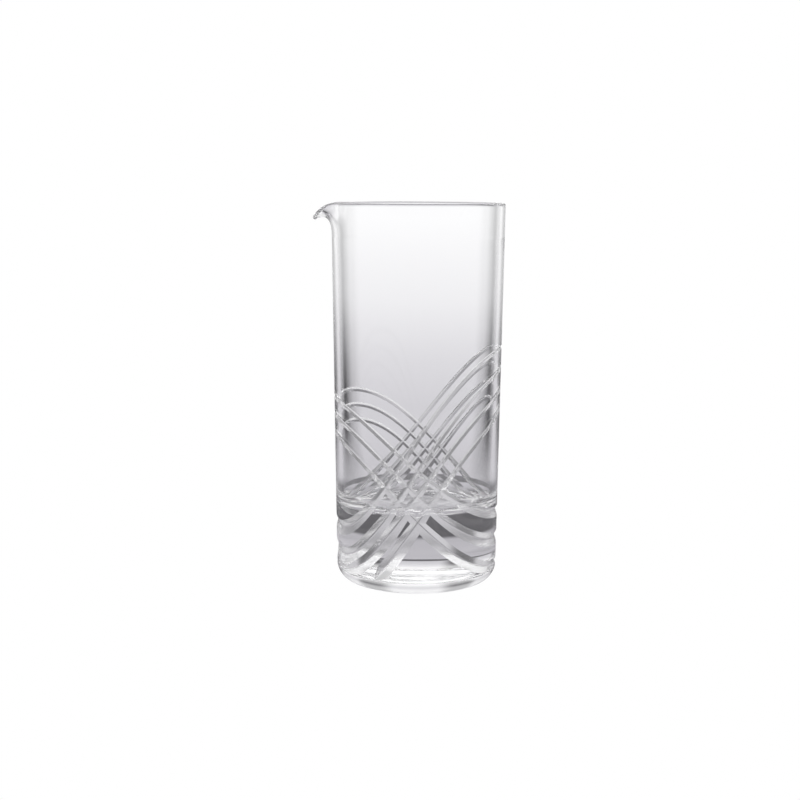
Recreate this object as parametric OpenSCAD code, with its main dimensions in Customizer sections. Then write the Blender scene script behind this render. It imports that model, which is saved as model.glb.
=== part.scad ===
// Mixing glass: one tall straight-sided tumbler of clear glass with a thick solid
// foot, a thin wall, a pulled pouring lip and seven cut rings that cross in front.
// Axes: +Z up, the lip points to -X, the ring crossing faces -Y.
// Origin: on the glass's axis, on the flat face that it stands on.

/* [Body] */

// Height from the table to the top of the rim
height = 185; // [120:1:240]

// Outside diameter at the rim
rim_d = 84; // [60:0.5:110]

// Outside diameter that the tapered side runs down to at the table
foot_d = 78; // [55:0.5:105]

// Radius of the rounded bottom edge
heel_r = 9.5; // [2:0.5:14]

/* [Cavity] */

// Height of the cavity floor above the table, the depth of solid glass in the foot
floor_z = 38; // [10:1:80]

// Radius where the cavity floor turns up into the wall
corner_r = 8.5; // [2:0.5:20]

// Wall thickness at the rim
rim_t = 2.2; // [1.2:0.1:5]

// Wall thickness where the wall meets the cavity floor's corner
low_t = 3.2; // [1.5:0.1:8]

/* [Pouring lip] */

// How far the lip is drawn out from the wall
lip_out = 8.8; // [4:0.2:16]

// How far the lip is drawn down below the rim
lip_drop = 9.2; // [0:0.2:14]

// Half the angle round the rim that the lip takes up
lip_half = 25; // [12:1:40]

// Height of wall under the rim that is drawn out into the lip
lip_depth = 17; // [8:1:30]

/* [Cut rings] */

// Depth of the falling rings' cut in the thick foot
steep_cut = 1.5; // [0.4:0.1:2.5]

// Depth of the shallow rings' cut in the thick foot
gentle_cut = 1.3; // [0.4:0.1:2.5]

// Depth of every cut in the thin wall
wall_cut = 0.6; // [0.2:0.05:1]

// Half width of a cut for each millimetre of its depth, in the wall
cut_spread = 1.9; // [0.8:0.1:3]

// The same for the broad scoops low in the foot
scoop_spread = 2.6; // [0.8:0.1:4]

/* [Hidden] */

$fn = 96;

// Where the foot ends and the wall starts: the top of the cavity floor's corner.
join_z = floor_z + corner_r;

// The outside radius, and the wall's thickness, at a height.
function out_r(z) = foot_d / 2 + (rim_d - foot_d) / 2 * z / height;
function wall_t(z) = low_t + (rim_t - low_t) * (z - join_z) / (height - join_z);
function ease(a, b, x) =
    let (u = min(1, max(0, (x - a) / (b - a)))) u * u * (3 - 2 * u);

// Rings. A ring's height follows the angle round the glass, measured from the
// front and growing to the right: a mean height, a swing, a lean to the front,
// the slight flattening of its top and bottom turns, and a sag across the back.
// The steep family is high on the right, four rings.
steep_mid = [73, 62.8, 55.6, 46];
steep_swing = [45.6, 46.6, 44, 45];
steep_lean = [0.5, -4.7, -9, -13];
steep_sag = [0, 3, 10, 16];
// The gentle family is high on the left, three rings.
gentle_mid = [65, 54.5, 44];
gentle_swing = [30, 32.5, 34.5];
gentle_lean = [-4.5, -6, -8];
turn_flat = 0.062;
turn_side = 0.034;
steep_skew = 0.07;
gentle_skew = 0.045;

function steep_z(i, t) = steep_mid[i] + steep_lean[i] * cos(t)
    - steep_sag[i] * pow(max(0, -cos(t)), 2)
    + steep_swing[i] * (sin(t) + steep_skew * sin(2 * t)
    + turn_flat * sin(3 * t) + turn_side * cos(3 * t));
function gentle_z(i, t) = gentle_mid[i] + gentle_lean[i] * cos(t)
    - gentle_swing[i] * (sin(t) - gentle_skew * cos(2 * t)
    + turn_flat * sin(3 * t) + turn_side * cos(3 * t));

// A point of a ring on the outside of the glass.
function on_glass(z, t) = [out_r(z) * sin(t), -out_r(z) * cos(t), z];
function unit(v) = v / norm(v);

// How deep a cut is at a height: full in the foot, shallow in the wall, and
// running out before the rounded bottom edge.
function cut_depth(z, full) =
    (wall_cut + (full - wall_cut) * (1 - ease(26, 66, z))) * max(0.02, ease(3, 13, z));

// How wide a cut opens for its depth at a height.
function cut_open(z) = cut_spread + (scoop_spread - cut_spread) * (1 - ease(24, 52, z));

stations = 90;
over = 0.5;

// The three corners of the V at one station: upper edge, root, lower edge.
// The edges stand a little proud of the glass, so that the cut opens cleanly.
function vee(p, along, full) =
    let (n = unit([p.x, p.y, 0]),
         b = unit(cross(along, n)),
         up = b.z < 0 ? -b : b,
         d = cut_depth(p.z, full),
         w = d * cut_open(p.z) * (1 + over))
    [p + up * w + n * d * over, p + up * w * 0.2 - n * d, p - up * w + n * d * over];

module ring_cutter(points) {
    n = len(points) / 3;
    faces = [for (i = [0:n - 1], k = [0:2])
        let (j = (i + 1) % n, m = (k + 1) % 3)
        each [[3 * i + k, 3 * j + m, 3 * i + m], [3 * i + k, 3 * j + k, 3 * j + m]]];
    polyhedron(points = points, faces = faces, convexity = 6);
}

module steep_ring(i) {
    step = 360 / stations;
    ring_cutter([for (s = [0:stations - 1])
        let (t = -s * step,
             p = on_glass(steep_z(i, t), t),
             q = on_glass(steep_z(i, t + 1), t + 1))
        each vee(p, q - p, steep_cut)]);
}

module gentle_ring(i) {
    step = 360 / stations;
    ring_cutter([for (s = [0:stations - 1])
        let (t = -s * step,
             p = on_glass(gentle_z(i, t), t),
             q = on_glass(gentle_z(i, t + 1), t + 1))
        each vee(p, q - p, gentle_cut)]);
}

// The solid block of glass under the cavity, with the cavity's round-cornered floor.
module foot_outline() {
    r = out_r(heel_r);
    inner = out_r(join_z) - low_t;
    difference() {
        union() {
            polygon([[0, heel_r], [r, heel_r], [out_r(join_z), join_z], [0, join_z]]);
            square([r - heel_r, heel_r * 1.5]);
            translate([r - heel_r, heel_r])
                circle(r = heel_r);
        }
        translate([0, floor_z])
            square([inner - corner_r, corner_r + 1]);
        translate([inner - corner_r, join_z])
            circle(r = corner_r);
    }
}

module foot() {
    color("gainsboro")
        difference() {
            rotate_extrude()
                foot_outline();
            gentle_ring(0);
            gentle_ring(1);
            gentle_ring(2);
            steep_ring(0);
            steep_ring(1);
            steep_ring(2);
            steep_ring(3);
        }
}

// The thin wall above the foot, with its fire-rounded rim.
module wall_outline() {
    half = rim_t / 2;
    top = height - half;
    polygon([
        [out_r(join_z) - low_t, join_z],
        [out_r(join_z), join_z],
        [out_r(top), top],
        [out_r(top) - rim_t, top]
    ]);
    translate([out_r(top) - half, top])
        circle(r = half);
}

// The wedge of wall that the lip replaces.
module lip_wedge() {
    reach = rim_d;
    translate([0, 0, height - lip_depth])
        linear_extrude(height = lip_depth + 1)
            polygon([
                [0, 0],
                [-reach, -reach * tan(lip_half)],
                [-reach, reach * tan(lip_half)]
            ]);
}

module wall() {
    color("lightcyan")
        difference() {
            rotate_extrude()
                wall_outline();
            lip_wedge();
            gentle_ring(0);
            gentle_ring(1);
            gentle_ring(2);
            steep_ring(0);
            steep_ring(1);
            steep_ring(2);
            steep_ring(3);
        }
}

// The lip: the wall's own section, drawn outward and down toward the tip. `a` is
// the angle from the tip, `s` the distance below the rim along the wall.
rise = 12;
arc_n = 6;
function swell(a) = pow((1 + cos(180 * a / lip_half)) / 2, 1.15);
function lip_point(a, s) =
    let (z = height - s, k = max(0, 1 - s / lip_depth))
    [out_r(z) + lip_out * swell(a) * pow(k, 3),
     z - lip_drop * pow(swell(a), 1.8) * pow(k, 4)];
function lip_normal(a, s) =
    let (d = unit(lip_point(a, s) - lip_point(a, s + 0.05)))
    [d.y, -d.x];
function lip_s(i) = rim_t / 2 + (lip_depth - rim_t / 2) * (1 - i / rise);
function thick(s) = wall_t(height - s);

// One section of the lip: up the outside, round the edge, down the inside.
function lip_section(a) = concat(
    [for (i = [0:rise]) lip_point(a, lip_s(i))],
    [for (k = [1:arc_n - 1])
        let (s = rim_t / 2,
             n = lip_normal(a, s),
             e = [-n.y, n.x],
             c = lip_point(a, s) - n * rim_t / 2,
             g = 180 * k / arc_n)
        c + n * cos(g) * rim_t / 2 + e * sin(g) * rim_t / 2],
    [for (i = [rise:-1:0])
        let (s = lip_s(i), g = i == 0 ? [1, 0] : lip_normal(a, s))
        lip_point(a, s) - g * (i == rise ? rim_t : thick(s))]);

module lip() {
    turns = 32;
    m = 2 * (rise + 1) + arc_n - 1;
    points = [for (j = [0:turns])
        let (a = lip_half * (2 * j / turns - 1))
        each [for (q = lip_section(a)) [-q.x * cos(a), -q.x * sin(a), q.y]]];
    sides = [for (j = [0:turns - 1], k = [0:m - 1])
        let (u = (k + 1) % m)
        each [[m * j + k, m * j + u, m * (j + 1) + u],
              [m * j + k, m * (j + 1) + u, m * (j + 1) + k]]];
    // The two ends are closed strip by strip from the outside to the inside.
    strips = [for (k = [0:m / 2 - 1])
        let (u = m - 1 - k)
        each u - 1 > k + 1 ? [[k, k + 1, u], [k + 1, u - 1, u]] : [[k, k + 1, u]]];
    first = [for (f = strips) [f.z, f.y, f.x]];
    last = [for (f = strips) f + [m * turns, m * turns, m * turns]];
    color("powderblue")
        polyhedron(points = points, faces = concat(sides, first, last), convexity = 6);
}

foot();
wall();
lip();
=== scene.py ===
# Mixing glass: looks, stage, light and camera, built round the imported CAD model.
import math

import bpy
import numpy as np
from mathutils import Matrix, Vector
from mathutils.bvhtree import BVHTree


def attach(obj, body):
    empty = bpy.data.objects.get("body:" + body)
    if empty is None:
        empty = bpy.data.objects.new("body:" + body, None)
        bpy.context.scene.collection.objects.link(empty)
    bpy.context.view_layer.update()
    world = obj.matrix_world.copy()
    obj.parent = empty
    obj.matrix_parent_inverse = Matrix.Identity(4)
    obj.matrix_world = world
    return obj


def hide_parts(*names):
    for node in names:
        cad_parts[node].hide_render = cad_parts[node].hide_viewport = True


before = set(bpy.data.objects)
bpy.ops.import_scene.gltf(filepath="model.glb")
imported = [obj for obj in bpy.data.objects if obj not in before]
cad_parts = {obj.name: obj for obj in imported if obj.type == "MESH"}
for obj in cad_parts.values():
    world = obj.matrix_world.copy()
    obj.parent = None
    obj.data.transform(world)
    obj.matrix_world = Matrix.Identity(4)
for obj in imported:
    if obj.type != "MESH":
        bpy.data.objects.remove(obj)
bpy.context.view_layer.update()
MM = 0.001

# ---------------------------------------------------------------- dimensions
# The part's own driving dimensions, in millimetres, repeated from its source.
HEIGHT = 185.0
RIM_D = 84.0
FOOT_D = 78.0
HEEL_R = 9.5
FLOOR_Z = 38.0
CORNER_R = 8.5
RIM_T = 2.2
LOW_T = 3.2
LIP_OUT = 8.8
LIP_DROP = 9.2
LIP_HALF = 25.0
LIP_DEPTH = 17.0
STEEP_CUT = 1.5
GENTLE_CUT = 1.3
WALL_CUT = 0.6
CUT_SPREAD = 1.9
SCOOP_SPREAD = 2.6
JOIN_Z = FLOOR_Z + CORNER_R

# The rings' heights round the glass: mean, swing, lean to the front and sag across the back.
STEEP_MID = (73.0, 62.8, 55.6, 46.0)
STEEP_SWING = (45.6, 46.6, 44.0, 45.0)
STEEP_LEAN = (0.5, -4.7, -9.0, -13.0)
STEEP_SAG = (0.0, 3.0, 10.0, 16.0)
GENTLE_MID = (65.0, 54.5, 44.0)
GENTLE_SWING = (30.0, 32.5, 34.5)
GENTLE_LEAN = (-4.5, -6.0, -8.0)
TURN_FLAT = 0.062
TURN_SIDE = 0.034
STEEP_SKEW = 0.07
GENTLE_SKEW = 0.045

# How finely the glass is meshed: round it, and along its half section.
AROUND = 288
UNDER_RADII = (5, 12, 19, 25)
HEEL_STEPS = 12
SIDE_STEPS = 48
NECK_STEPS = 5
RISE = 22
RIM_ARC = 8
WALL_STEPS = 13
CORNER_STEPS = 10
FLOOR_RADII = (21, 14, 7)
# The side is meshed finely up to this height, which is above every cut.
CUT_TOP = 126.0

# The rings' cutters: stations round the glass, the step in degrees that gives a ring's direction,
# how far a cutter stands proud of the glass and how far its root leans up for its depth and half
# width, and how blunt the root is.
STATIONS = 480
DIRECTION_STEP = 0.5
PROUD = 0.6
ROOT_LEAN = 0.2
ROOT_BLUNT = 0.12


def out_r(z):
    return FOOT_D / 2 + (RIM_D - FOOT_D) / 2 * z / HEIGHT


def wall_t(z):
    return LOW_T + (RIM_T - LOW_T) * (z - JOIN_Z) / (HEIGHT - JOIN_Z)


def ease(a, b, x):
    u = min(1.0, max(0.0, (x - a) / (b - a)))
    return u * u * (3 - 2 * u)


def unit(v):
    v = np.asarray(v, float)
    return v / np.linalg.norm(v)


def sind(t):
    return math.sin(math.radians(t))


def cosd(t):
    return math.cos(math.radians(t))


# ---------------------------------------------------------------- glass body
def swell(a):
    """How far the lip is drawn out at an angle from its tip, from 0 to 1."""
    if abs(a) >= LIP_HALF:
        return 0.0
    return ((1 + cosd(180 * a / LIP_HALF)) / 2) ** 1.15


def lip_point(a, s):
    """The outside of the glass at an angle from the lip's tip and a distance below the rim."""
    z = HEIGHT - s
    k = max(0.0, 1 - s / LIP_DEPTH)
    w = swell(a)
    return np.array([out_r(z) + LIP_OUT * w * k ** 3, z - LIP_DROP * w ** 1.8 * k ** 4])


def lip_normal(a, s):
    d = unit(lip_point(a, s) - lip_point(a, s + 0.05))
    return np.array([d[1], -d[0]])


def outside(a):
    """The half section from the underside up the outside to the edge of the rim."""
    r0 = out_r(HEEL_R)
    pts = [(r, 0.0) for r in UNDER_RADII]
    for i in range(HEEL_STEPS + 1):
        g = -90 + 90 * i / HEEL_STEPS
        pts.append((r0 - HEEL_R + HEEL_R * cosd(g), HEEL_R + HEEL_R * sind(g)))
    for i in range(1, SIDE_STEPS + 1):
        z = HEEL_R + (CUT_TOP - HEEL_R) * i / SIDE_STEPS
        pts.append((out_r(z), z))
    neck = HEIGHT - LIP_DEPTH
    for i in range(1, NECK_STEPS):
        z = CUT_TOP + (neck - CUT_TOP) * i / NECK_STEPS
        pts.append((out_r(z), z))
    return pts


def rim_and_lip(a):
    """The half section through the lip's height: up the outside, over the rim, down the inside."""
    half = RIM_T / 2
    depths = [half + (LIP_DEPTH - half) * (1 - i / RISE) for i in range(RISE + 1)]
    pts = [tuple(lip_point(a, s)) for s in depths]
    n = lip_normal(a, half)
    e = np.array([-n[1], n[0]])
    c = lip_point(a, half) - n * half
    for k in range(1, RIM_ARC):
        g = 180 * k / RIM_ARC
        pts.append(tuple(c + n * cosd(g) * half + e * sind(g) * half))
    for s in reversed(depths):
        t = RIM_T if s == half else wall_t(HEIGHT - s)
        pts.append(tuple(lip_point(a, s) - lip_normal(a, s) * t))
    return pts


def inside():
    """The half section down the inside of the wall, round the corner and in along the floor."""
    pts = []
    neck = HEIGHT - LIP_DEPTH
    for i in range(1, WALL_STEPS):
        u = i / WALL_STEPS
        z = neck + (JOIN_Z - neck) * u
        pts.append((out_r(z) - wall_t(z), z))
    inner = out_r(JOIN_Z) - LOW_T
    for i in range(CORNER_STEPS + 1):
        g = -90.0 * i / CORNER_STEPS
        pts.append((inner - CORNER_R + CORNER_R * cosd(g), JOIN_Z + CORNER_R * sind(g)))
    return pts + [(r, FLOOR_Z) for r in FLOOR_RADII]


def body_mesh(name):
    """The closed, uncut glass body. The angle runs from the lip, at -X."""
    verts, rows = [(0.0, 0.0, 0.0)], []
    for j in range(AROUND):
        a = 360.0 * j / AROUND
        a = a - 360 if a > 180 else a
        row = []
        for r, z in outside(a) + rim_and_lip(a) + inside():
            row.append(len(verts))
            verts.append((-r * cosd(a) * MM, -r * sind(a) * MM, z * MM))
        rows.append(row)
    last = len(verts)
    verts.append((0.0, 0.0, FLOOR_Z * MM))
    faces = []
    m = len(rows[0])
    for j in range(AROUND):
        p, q = rows[j], rows[(j + 1) % AROUND]
        faces.append((0, q[0], p[0]))
        for k in range(m - 1):
            faces.append((p[k], q[k], q[k + 1]))
            faces.append((p[k], q[k + 1], p[k + 1]))
        faces.append((last, p[m - 1], q[m - 1]))
    return plain_mesh(name, verts, faces)


def plain_mesh(name, verts, faces):
    mesh = bpy.data.meshes.new(name)
    mesh.from_pydata(verts, [], faces)
    mesh.validate()
    return mesh


def add_object(name, mesh):
    obj = bpy.data.objects.new(name, mesh)
    bpy.context.scene.collection.objects.link(obj)
    return obj


# ---------------------------------------------------------------- cut rings
def steep_z(i, t):
    sag = STEEP_SAG[i] * max(0.0, -cosd(t)) ** 2
    return STEEP_MID[i] + STEEP_LEAN[i] * cosd(t) - sag + STEEP_SWING[i] * (
        sind(t) + STEEP_SKEW * sind(2 * t) + TURN_FLAT * sind(3 * t) + TURN_SIDE * cosd(3 * t))


def gentle_z(i, t):
    return GENTLE_MID[i] + GENTLE_LEAN[i] * cosd(t) - GENTLE_SWING[i] * (
        sind(t) - GENTLE_SKEW * cosd(2 * t) + TURN_FLAT * sind(3 * t) + TURN_SIDE * cosd(3 * t))


def cut_depth(z, full):
    deep = WALL_CUT + (full - WALL_CUT) * (1 - ease(26, 66, z))
    return deep * max(0.02, ease(3, 13, z))


def cut_open(z):
    return CUT_SPREAD + (SCOOP_SPREAD - CUT_SPREAD) * (1 - ease(24, 52, z))


def on_glass(z, t):
    r = out_r(z)
    return np.array([r * sind(t), -r * cosd(t), z])


def ring_rows(height_at, full):
    """Rows of five points across the V of a ring: edge, flank, root, flank, edge."""
    rows = []
    for s in range(STATIONS):
        t = -360.0 * s / STATIONS
        p = on_glass(height_at(t), t)
        q = on_glass(height_at(t + DIRECTION_STEP), t + DIRECTION_STEP)
        n = unit((p[0], p[1], 0))
        b = unit(np.cross(q - p, n))
        up = -b if b[2] < 0 else b
        d = cut_depth(p[2], full)
        w = d * cut_open(p[2])
        root = np.array([ROOT_LEAN * w, -d])
        high = np.array([w * (1 + PROUD * (1 - ROOT_LEAN)), d * PROUD])
        low = np.array([-w * (1 + PROUD * (1 + ROOT_LEAN)), d * PROUD])
        upper = root + (high - root) * ROOT_BLUNT
        lower = root + (low - root) * ROOT_BLUNT
        mid = root + ((upper + lower) / 2 - root) * 0.5
        rows.append([p + up * x + n * y for x, y in (high, upper, mid, lower, low)])
    return rows


def ring_mesh(name, rows):
    """A ring's closed cutter, with its faces outward and a material that marks what it cuts."""
    n, m = len(rows), len(rows[0])
    verts = [tuple(v * MM) for row in rows for v in row]
    faces = []
    for i in range(n):
        j = (i + 1) % n
        for k in range(m):
            u = (k + 1) % m
            faces.append((m * i + k, m * j + u, m * j + k))
            faces.append((m * i + k, m * i + u, m * j + u))
    mesh = plain_mesh(name, verts, faces)
    mesh.materials.append(bpy.data.materials.new(name))
    return mesh


# ---------------------------------------------------------------- normals
def points_of(mesh):
    co = np.empty(len(mesh.vertices) * 3)
    mesh.vertices.foreach_get("co", co)
    return co.reshape(-1, 3)


def triangles_of(mesh):
    mesh.calc_loop_triangles()
    tri = np.empty(len(mesh.loop_triangles) * 3, np.int32)
    mesh.loop_triangles.foreach_get("vertices", tri)
    return tri.reshape(-1, 3)


class Shading:
    """Smooth normals of an uncut surface, read at any point on it."""

    def __init__(self, co, tri, turn=1):
        self.co, self.tri = co, tri
        fn = np.cross(co[tri[:, 1]] - co[tri[:, 0]], co[tri[:, 2]] - co[tri[:, 0]])
        vn = np.zeros_like(co)
        for k in range(3):
            np.add.at(vn, tri[:, k], fn)
        ln = np.linalg.norm(vn, axis=1, keepdims=True)
        self.vn = vn / np.where(ln > 0, ln, 1) * turn
        corners = [Vector(c) for c in co]
        self.tree = BVHTree.FromPolygons(corners, [tuple(int(i) for i in t) for t in tri])

    def at(self, p):
        hit, _, index, _ = self.tree.find_nearest(Vector(p))
        a, b, c = self.tri[index]
        pa, pb, pc = self.co[a], self.co[b], self.co[c]
        v0, v1, v2 = pb - pa, pc - pa, np.array(hit) - pa
        d00, d01, d11 = v0 @ v0, v0 @ v1, v1 @ v1
        d20, d21 = v2 @ v0, v2 @ v1
        den = d00 * d11 - d01 * d01
        if abs(den) < 1e-30:
            return self.vn[a]
        v = (d11 * d20 - d01 * d21) / den
        w = (d00 * d21 - d01 * d20) / den
        n = self.vn[a] * (1 - v - w) + self.vn[b] * v + self.vn[c] * w
        return n / max(1e-12, np.linalg.norm(n))


# ---------------------------------------------------------------- nodes
def put(nt, socket, value):
    """Sets a node's input to a number or a colour, or links another node's output to it."""
    if isinstance(value, bpy.types.NodeSocket):
        nt.links.new(value, socket)
    else:
        socket.default_value = value


def math_node(nt, operation, first, second=None):
    node = nt.nodes.new("ShaderNodeMath")
    node.operation = operation
    put(nt, node.inputs[0], first)
    if second is not None:
        put(nt, node.inputs[1], second)
    return node.outputs["Value"]


def map_range(nt, value, source, target, smooth=False):
    """Carries a value from one range to another, and holds it at the ends."""
    node = nt.nodes.new("ShaderNodeMapRange")
    node.interpolation_type = "SMOOTHSTEP" if smooth else "LINEAR"
    put(nt, node.inputs["Value"], value)
    put(nt, node.inputs["From Min"], source[0])
    put(nt, node.inputs["From Max"], source[1])
    put(nt, node.inputs["To Min"], target[0])
    put(nt, node.inputs["To Max"], target[1])
    return node.outputs["Result"]


def split_xyz(nt, vector):
    node = nt.nodes.new("ShaderNodeSeparateXYZ")
    put(nt, node.inputs["Vector"], vector)
    return node.outputs


def blank_material(name):
    mat = bpy.data.materials.new(name)
    mat.use_nodes = True
    mat.node_tree.nodes.clear()
    return mat, mat.node_tree


# ---------------------------------------------------------------- glass materials
GLASS_IOR = 1.52
# The cuts are satin in the foot and more polished above it, between these heights in metres.
SATIN_TOP = 0.036
POLISH_FROM = 0.058


def fine_noise(nt, scale):
    co = nt.nodes.new("ShaderNodeTexCoord")
    place = nt.nodes.new("ShaderNodeMapping")
    place.inputs["Location"].default_value = (4.0, 4.0 * 0.7, 4.0 * 1.3)
    tex = nt.nodes.new("ShaderNodeTexNoise")
    tex.inputs["Scale"].default_value = scale
    tex.inputs["Detail"].default_value = 3.0
    nt.links.new(co.outputs["Object"], place.inputs["Vector"])
    nt.links.new(place.outputs["Vector"], tex.inputs["Vector"])
    return tex.outputs["Fac"]


def glass_material(name, tint, rough, bump, grain, polish=1.0, clear_part=1.0):
    """Glass whose roughness and surface vary with a noise, `grain` times a metre.

    Its roughness falls to `polish` times the noise's own above the foot, and what isn't its
    clear part is white, as ground glass is."""
    mat, nt = blank_material(name)
    out = nt.nodes.new("ShaderNodeOutputMaterial")
    bsdf = nt.nodes.new("ShaderNodeBsdfPrincipled")
    bsdf.inputs["Base Color"].default_value = (*tint, 1)
    bsdf.inputs["Transmission Weight"].default_value = clear_part
    bsdf.inputs["IOR"].default_value = GLASS_IOR
    fine = fine_noise(nt, grain)
    co = nt.nodes.new("ShaderNodeTexCoord")
    height = split_xyz(nt, co.outputs["Object"])["Z"]
    share = map_range(nt, height, (SATIN_TOP, POLISH_FROM), (1.0, polish), smooth=True)
    satin = math_node(nt, "MULTIPLY", share, map_range(nt, fine, (0.3, 0.75), rough))
    nt.links.new(satin, bsdf.inputs["Roughness"])
    waves = nt.nodes.new("ShaderNodeBump")
    waves.inputs["Strength"].default_value = bump
    waves.inputs["Distance"].default_value = 0.0004
    nt.links.new(fine, waves.inputs["Height"])
    nt.links.new(waves.outputs["Normal"], bsdf.inputs["Normal"])
    nt.links.new(bsdf.outputs["BSDF"], out.inputs["Surface"])
    return mat


CLEAR, CUT, UNDER = 0, 1, 2
GLASS_MATERIALS = (
    glass_material("clear_glass", (0.985, 0.985, 0.99), (0.0, 0.004), 0.02, 45),
    glass_material("cut_glass", (0.97, 0.97, 0.975), (0.16, 0.28), 0.01, 1400,
                   polish=0.5, clear_part=0.8),
    glass_material("under_glass", (0.98, 0.98, 0.985), (0.0, 0.05), 0.06, 260),
)


# ---------------------------------------------------------------- the glass
def cut_by(glass, cutters):
    """Cuts each ring out of the glass. A cut face keeps its own ring's material."""
    for k, cutter in enumerate(cutters):
        mod = glass.modifiers.new("cut_%d" % k, "BOOLEAN")
        mod.operation = "DIFFERENCE"
        mod.object = cutter
        mod.solver = "MANIFOLD"
        mod.material_mode = "TRANSFER"
    depsgraph = bpy.context.evaluated_depsgraph_get()
    result = bpy.data.meshes.new_from_object(glass.evaluated_get(depsgraph), depsgraph=depsgraph)
    glass.modifiers.clear()
    glass.data = result
    for cutter in cutters:
        bpy.data.objects.remove(cutter)


def shade_and_paint(mesh, body_shading, ring_shading):
    """Gives each face its glass and the normals of the surface that it was cut from."""
    ring_of = [int(m.name.split("_")[1]) if m.name.startswith("ring_") else None
               for m in mesh.materials]
    co = points_of(mesh)
    normals = np.zeros((len(mesh.loops), 3))
    kinds = []
    memo = {}
    for p in mesh.polygons:
        ring = ring_of[p.material_index]
        flat_under = max(co[v][2] for v in p.vertices) < 0.01 * MM
        kinds.append(CUT if ring is not None else UNDER if flat_under else CLEAR)
        shading = body_shading if ring is None else ring_shading[ring]
        for loop in p.loop_indices:
            v = mesh.loops[loop].vertex_index
            if (v, ring) not in memo:
                memo[v, ring] = shading.at(co[v])
            normals[loop] = memo[v, ring]
    mesh.materials.clear()
    for material in GLASS_MATERIALS:
        mesh.materials.append(material)
    mesh.polygons.foreach_set("material_index", kinds)
    mesh.polygons.foreach_set("use_smooth", [True] * len(mesh.polygons))
    mesh.normals_split_custom_set([tuple(n) for n in normals])
    mesh.update()


def make_glass():
    body = body_mesh("glass_body")
    body_shading = Shading(points_of(body), triangles_of(body))
    body.materials.append(GLASS_MATERIALS[CLEAR])
    glass = add_object("glass_body", body)

    rings = [(lambda t, i=i: gentle_z(i, t), GENTLE_CUT) for i in range(len(GENTLE_MID))]
    rings += [(lambda t, i=i: steep_z(i, t), STEEP_CUT) for i in range(len(STEEP_MID))]
    cutters, ring_shading = [], []
    for k, (height_at, full) in enumerate(rings):
        rows = ring_rows(height_at, full)
        mesh = ring_mesh("ring_%d" % k, rows)
        tri = triangles_of(mesh)
        m = len(rows[0])
        # The strip between the V's two edges lies outside the glass, so it shades nothing.
        cover = np.array([set(t % m) <= {0, m - 1} for t in tri])
        ring_shading.append(Shading(points_of(mesh), tri[~cover], turn=-1))
        cutters.append(add_object("ring_%d" % k, mesh))
    cut_by(glass, cutters)
    shade_and_paint(glass.data, body_shading, ring_shading)
    return glass


glass = make_glass()
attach(glass, "root")
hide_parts("foot", "wall", "lip")

# ---------------------------------------------------------------- stage
WHITE = (1, 1, 1, 1)
TENT_R = 0.45
TENT_H = 0.6
FLOOR_R = 40.0
# The floor lies just under the face that the glass stands on.
STAGE_Z = -0.0006
STAGE_SIDES = 96
# The floor inside the light tent glows with painted light and shade: distance from the glass over
# the tent's radius, and brightness. The dark ring just outside the glass's foot is painted shade
# round the base.
FLOOR_STOPS = ((0.0, 0.45), (0.080, 0.45), (0.096, 0.12), (0.155, 0.28), (0.19, 0.50),
               (0.268, 0.52), (0.288, 0.12), (0.50, 0.16), (0.56, 0.62), (0.78, 0.62),
               (1.0, 0.66))
# The tent's wall: height over the tent's height, and brightness.
TENT_STOPS = ((0.0, 0.66), (0.03, 0.665), (0.09, 0.745), (0.166, 0.897), (0.216, 0.952),
              (0.275, 1.02), (0.35, 0.97), (0.44, 0.965), (0.54, 1.35), (1.0, 1.35))
SKY = (1.25, 1.25, 1.25, 1)
# How cool the greys are. They run to neutral as they brighten to white.
COOL = 0.035
# The tent has a white panel at every 45 degrees. Between panels there are soft dark gaps, on the
# side behind the glass only: they start and reach their full depth at these shares of +Y.
PANELS = 8.0
GAP_EDGES = (-0.9, 0.3)
GAP_BEHIND = (0.1, 0.4)
NO_GAP = 1.0
# A gap's brightness low and high on the tent, and the slopes up to them from the glass.
GAP_DARK = 0.1
GAP_HIGH = 0.55
GAP_SLOPES = (0.08, 0.22)
# On the floor the gaps run on as painted shade, darker wedges behind the glass that fade out
# between the tent and this distance from the glass.
GAP_NEAR = 0.16


def fill_ramp(ramp, stops):
    """Sets a colour ramp's stops from (position, level) pairs, a cool grey at each level."""
    while len(ramp.elements) > 1:
        ramp.elements.remove(ramp.elements[-1])
    for k, (pos, level) in enumerate(stops):
        e = ramp.elements[0] if k == 0 else ramp.elements.new(pos)
        e.position = pos
        cool = COOL * min(1.0, max(0.0, 2.0 * (1.0 - level)))
        e.color = (level * (1 - 0.3 * cool), level * (1 - cool), level * (1 + 0.8 * cool), 1)


def panels(nt, place, color, distance):
    """A colour times the brightness of the panels in the compass direction of a place."""
    reach = nt.nodes.new("ShaderNodeVectorMath")
    reach.operation = "NORMALIZE"
    nt.links.new(place, reach.inputs[0])
    toward = split_xyz(nt, reach.outputs["Vector"])
    if distance is None:
        gap = map_range(nt, toward["Z"], GAP_SLOPES, (GAP_DARK, GAP_HIGH))
    else:
        # On the floor, this darkening by the gaps is painted shade.
        gap = map_range(nt, distance, (GAP_NEAR, TENT_R), (NO_GAP, GAP_DARK))
    gap = map_range(nt, toward["Y"], GAP_BEHIND, (NO_GAP, gap))
    flat = split_xyz(nt, place)
    bearing = math_node(nt, "ARCTAN2", flat["X"], flat["Y"])
    wave = math_node(nt, "COSINE", math_node(nt, "MULTIPLY", bearing, PANELS))
    level = map_range(nt, wave, GAP_EDGES, (gap, 1.0), smooth=True)
    times = nt.nodes.new("ShaderNodeMix")
    times.data_type = "RGBA"
    times.blend_type = "MULTIPLY"
    times.inputs["Factor"].default_value = 1.0
    nt.links.new(color, times.inputs["A"])
    nt.links.new(level, times.inputs["B"])
    return times.outputs["Result"]


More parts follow.
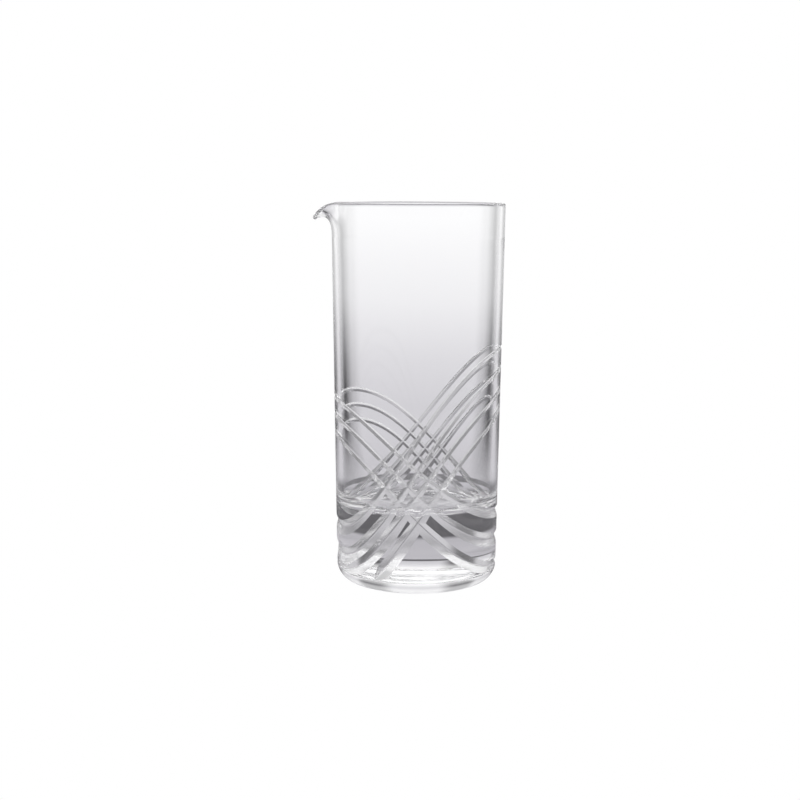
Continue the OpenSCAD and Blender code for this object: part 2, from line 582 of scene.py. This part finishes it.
def white_to_camera(nt, others):
    """White for a ray straight from the camera, and another colour for every other ray."""
    path = nt.nodes.new("ShaderNodeLightPath")
    mix = nt.nodes.new("ShaderNodeMix")
    mix.data_type = "RGBA"
    nt.links.new(path.outputs["Is Camera Ray"], mix.inputs["Factor"])
    put(nt, mix.inputs["A"], others)
    mix.inputs["B"].default_value = WHITE
    return mix.outputs["Result"]


def stage_material(name, stops, reach, upright):
    """Plain white to the camera; to the glass, a soft grey by height or by distance."""
    mat, nt = blank_material(name)
    out = nt.nodes.new("ShaderNodeOutputMaterial")
    glow = nt.nodes.new("ShaderNodeEmission")
    ramp = nt.nodes.new("ShaderNodeValToRGB")
    fill_ramp(ramp.color_ramp, stops)
    place = nt.nodes.new("ShaderNodeNewGeometry").outputs["Position"]
    distance = None
    if upright:
        along = split_xyz(nt, place)["Z"]
    else:
        length = nt.nodes.new("ShaderNodeVectorMath")
        length.operation = "LENGTH"
        nt.links.new(place, length.inputs[0])
        along = distance = length.outputs["Value"]
    nt.links.new(map_range(nt, along, (0.0, reach), (0.0, 1.0)), ramp.inputs["Fac"])
    shade = panels(nt, place, ramp.outputs["Color"], distance)
    nt.links.new(white_to_camera(nt, shade), glow.inputs["Color"])
    nt.links.new(glow.outputs["Emission"], out.inputs["Surface"])
    mat.cycles.emission_sampling = "NONE"
    return mat


def circle(radius, z):
    turn = 360 / STAGE_SIDES
    return [(radius * cosd(turn * k), radius * sind(turn * k), z) for k in range(STAGE_SIDES)]


def add_stage(name, verts, faces, material):
    mesh = bpy.data.meshes.new(name)
    mesh.from_pydata(verts, [], faces)
    mesh.materials.append(material)
    obj = add_object(name, mesh)
    return obj


def make_floor():
    # No lamp lights the floor. It glows, and the greys that the glass sees in it are painted light
    # and shade.
    n = STAGE_SIDES
    faces = [(0, 1 + k, 1 + (k + 1) % n) for k in range(n)]
    add_stage("floor", [(0, 0, STAGE_Z)] + circle(FLOOR_R, STAGE_Z), faces,
              stage_material("pale_floor", FLOOR_STOPS, TENT_R, upright=False))


def make_tent():
    """A round light tent stands about the glass. The camera looks through it."""
    n = STAGE_SIDES
    faces = [(k, (k + 1) % n, n + (k + 1) % n, n + k) for k in range(n)]
    tent = add_stage("light_tent", circle(TENT_R, STAGE_Z) + circle(TENT_R, TENT_H), faces,
                     stage_material("tent_cloth", TENT_STOPS, TENT_H, upright=True))
    tent.visible_camera = False


def make_sky():
    world = bpy.data.worlds.new("studio")
    bpy.context.scene.world = world
    world.use_nodes = True
    nt = world.node_tree
    nt.nodes.clear()
    out = nt.nodes.new("ShaderNodeOutputWorld")
    back = nt.nodes.new("ShaderNodeBackground")
    nt.links.new(white_to_camera(nt, SKY), back.inputs["Color"])
    nt.links.new(back.outputs["Background"], out.inputs["Surface"])
    world.cycles.sampling_method = "NONE"


make_floor()
make_tent()
make_sky()

# ---------------------------------------------------------------- camera
# Metres from the glass's axis and above the table, angles in degrees, and the lens in millimetres.
CAM_BACK = 0.7632
CAM_HEIGHT = 0.1954
PITCH, YAW, ROLL = 7.93, -0.634, 0.254
LENS = 70.82


def make_camera():
    data = bpy.data.cameras.new("camera")
    data.sensor_width = 36.0
    data.lens = LENS
    data.clip_start = 0.01
    cam = add_object("camera", data)
    right = np.array([cosd(YAW), -sind(YAW), 0.0])
    ahead = np.array([sind(YAW) * cosd(PITCH), cosd(YAW) * cosd(PITCH), -sind(PITCH)])
    upward = np.cross(right, ahead)
    side = right * cosd(ROLL) + upward * sind(ROLL)
    top = upward * cosd(ROLL) - right * sind(ROLL)
    cam.matrix_world = Matrix([
        (side[0], top[0], -ahead[0], 0.0),
        (side[1], top[1], -ahead[1], -CAM_BACK),
        (side[2], top[2], -ahead[2], CAM_HEIGHT),
        (0.0, 0.0, 0.0, 1.0),
    ])
    bpy.context.scene.camera = cam


make_camera()

# Light runs a long way inside the thin rim and lip, which go dark if its path is cut short.
LONG_PATH = 200
scene = bpy.context.scene
scene.view_settings.view_transform = "Standard"
scene.view_settings.look = "None"
scene.cycles.max_bounces = LONG_PATH
scene.cycles.transmission_bounces = LONG_PATH
scene.cycles.glossy_bounces = LONG_PATH
scene.cycles.transparent_max_bounces = 24
